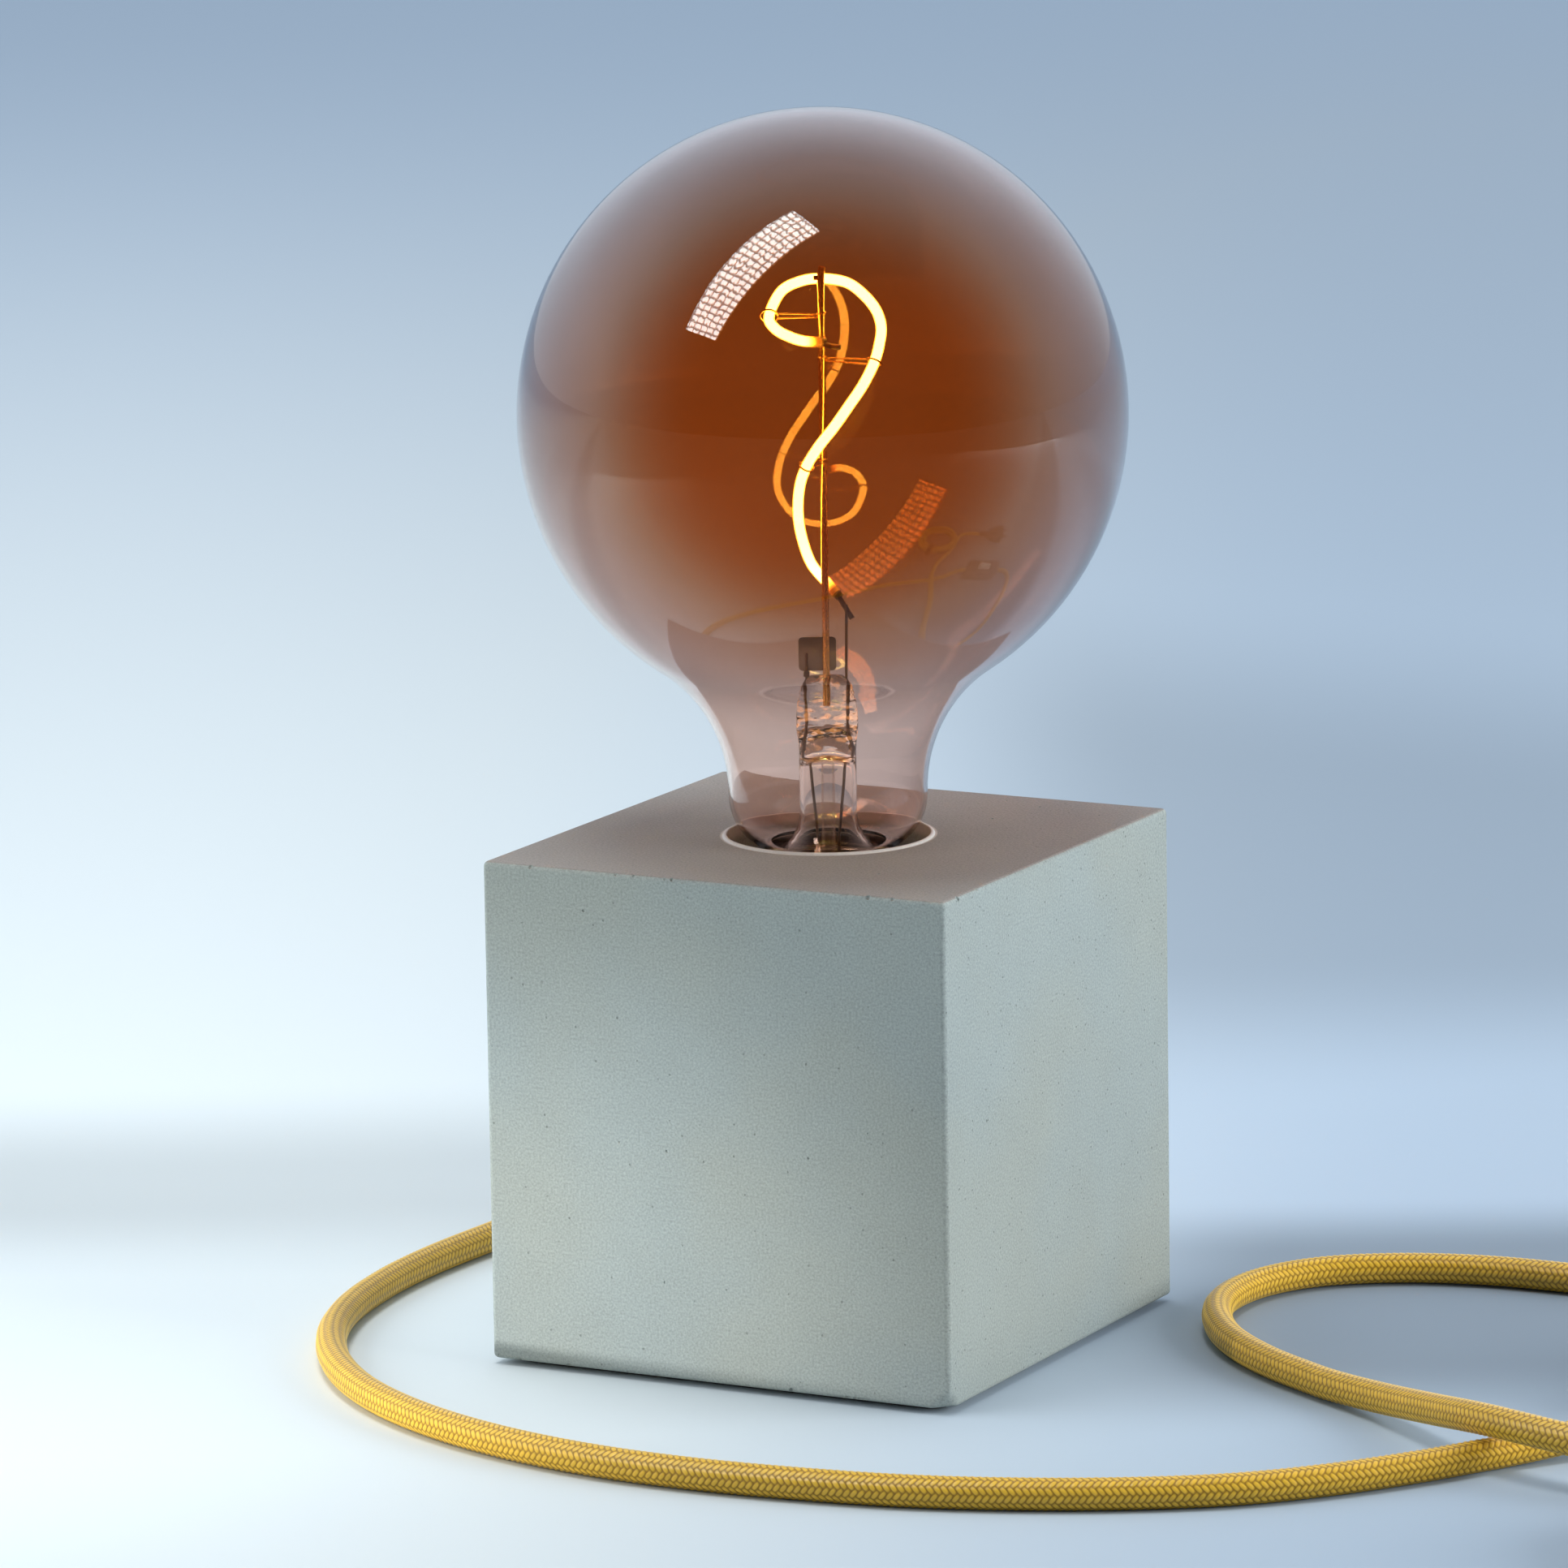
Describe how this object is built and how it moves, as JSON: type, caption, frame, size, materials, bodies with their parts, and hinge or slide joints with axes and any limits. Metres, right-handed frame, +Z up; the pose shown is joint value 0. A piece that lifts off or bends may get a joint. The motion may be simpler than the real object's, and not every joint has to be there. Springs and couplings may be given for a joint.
{
  "type": "concrete table lamp",
  "caption": "Table lamp: cast concrete cube with a sunk lampholder, large smoky globe filament lamp, golden textile flex, in-line rocker switch and flat plug.",
  "frame": {"origin": "on the surface that the lamp stands on, under the middle of the cube", "axes": "+Z up along the lamp's axis, -Y the large front face, +Y the back where the flex comes out, +X towards the switch and plug"},
  "size_m": [0.4118, 0.2435, 0.2557],
  "materials": {
    "concrete": "fine cast concrete",
    "pad": "matt foam",
    "black_plastic": "matt",
    "porcelain": "unglazed",
    "brass": "bright",
    "steel": "zinc plated",
    "white_plastic": "natural",
    "flex": "golden braid",
    "brown_core": "smooth",
    "blue_core": "smooth",
    "smoky_glass": "smoky brown, clear",
    "clear_glass": "clear",
    "cap_metal": "satin",
    "insulator": "black glass",
    "board": "laminate",
    "board_parts": "moulded",
    "wire": "drawn",
    "filament": "glowing"
  },
  "bodies": {
    "lamp_base": {"concrete_cube": "concrete", "base_pad": "pad", "holder_sleeve": "black_plastic", "holder_dome": "black_plastic", "holder_core": "porcelain", "holder_shell": "brass", "centre_contact": "brass", "side_contact": "brass", "terminal_screws": "steel", "threaded_tube": "steel", "tube_nut": "steel", "tube_washers": "steel", "cord_bushing": "black_plastic", "bushing_nut": "black_plastic", "pull_stop": "white_plastic", "inner_cord": "flex", "live_core": "brown_core", "neutral_core": "blue_core", "cord_lamp_run": "flex", "cord_loop_run": "flex", "cord_coil": "flex", "cord_plug_run": "flex", "coil_strap": "black_plastic", "switch_base": "black_plastic", "switch_cover": "black_plastic", "switch_terminals": "brass", "switch_spring": "brass", "switch_leads": "flex", "switch_screws": "steel", "plug_body": "black_plastic", "plug_relief": "black_plastic", "plug_pins": "steel", "pin_sleeves": "black_plastic"},
    "bulb_contact": {"cap_tip": "cap_metal"},
    "bulb": {"globe_glass": "smoky_glass", "lamp_cap": "cap_metal", "cap_insulator": "insulator", "driver_board": "board", "driver_parts": "board_parts", "glass_stem": "clear_glass", "exhaust_tube": "clear_glass", "support_post": "wire", "bridge_plate": "wire", "lead_wires": "wire", "filament": "filament", "filament_ends": "wire", "filament_hooks": "wire"},
    "rocker": {"switch_rocker": "black_plastic"}
  },
  "joints": [
    {"name": "bulb_rise", "type": "slide", "parent": "lamp_base", "child": "bulb_contact", "axis": [0, 0, 1], "range_m": [0, 0.01392]},
    {"name": "bulb_turn", "type": "hinge", "parent": "bulb_contact", "child": "bulb", "pos_m": [0, 0, 0.0775], "axis": [0, 0, 1], "range_deg": [0, 1380]},
    {"name": "rocker_tilt", "type": "hinge", "parent": "lamp_base", "child": "rocker", "pos_m": [0.196, 0.03, 0.0135], "axis": [1, 0, 0], "range_deg": [0, 14]}
  ],
  "couplings": [
    {"joint": "bulb_rise", "follows": "bulb_turn", "m_per_rad": 0.00057757}
  ]
}
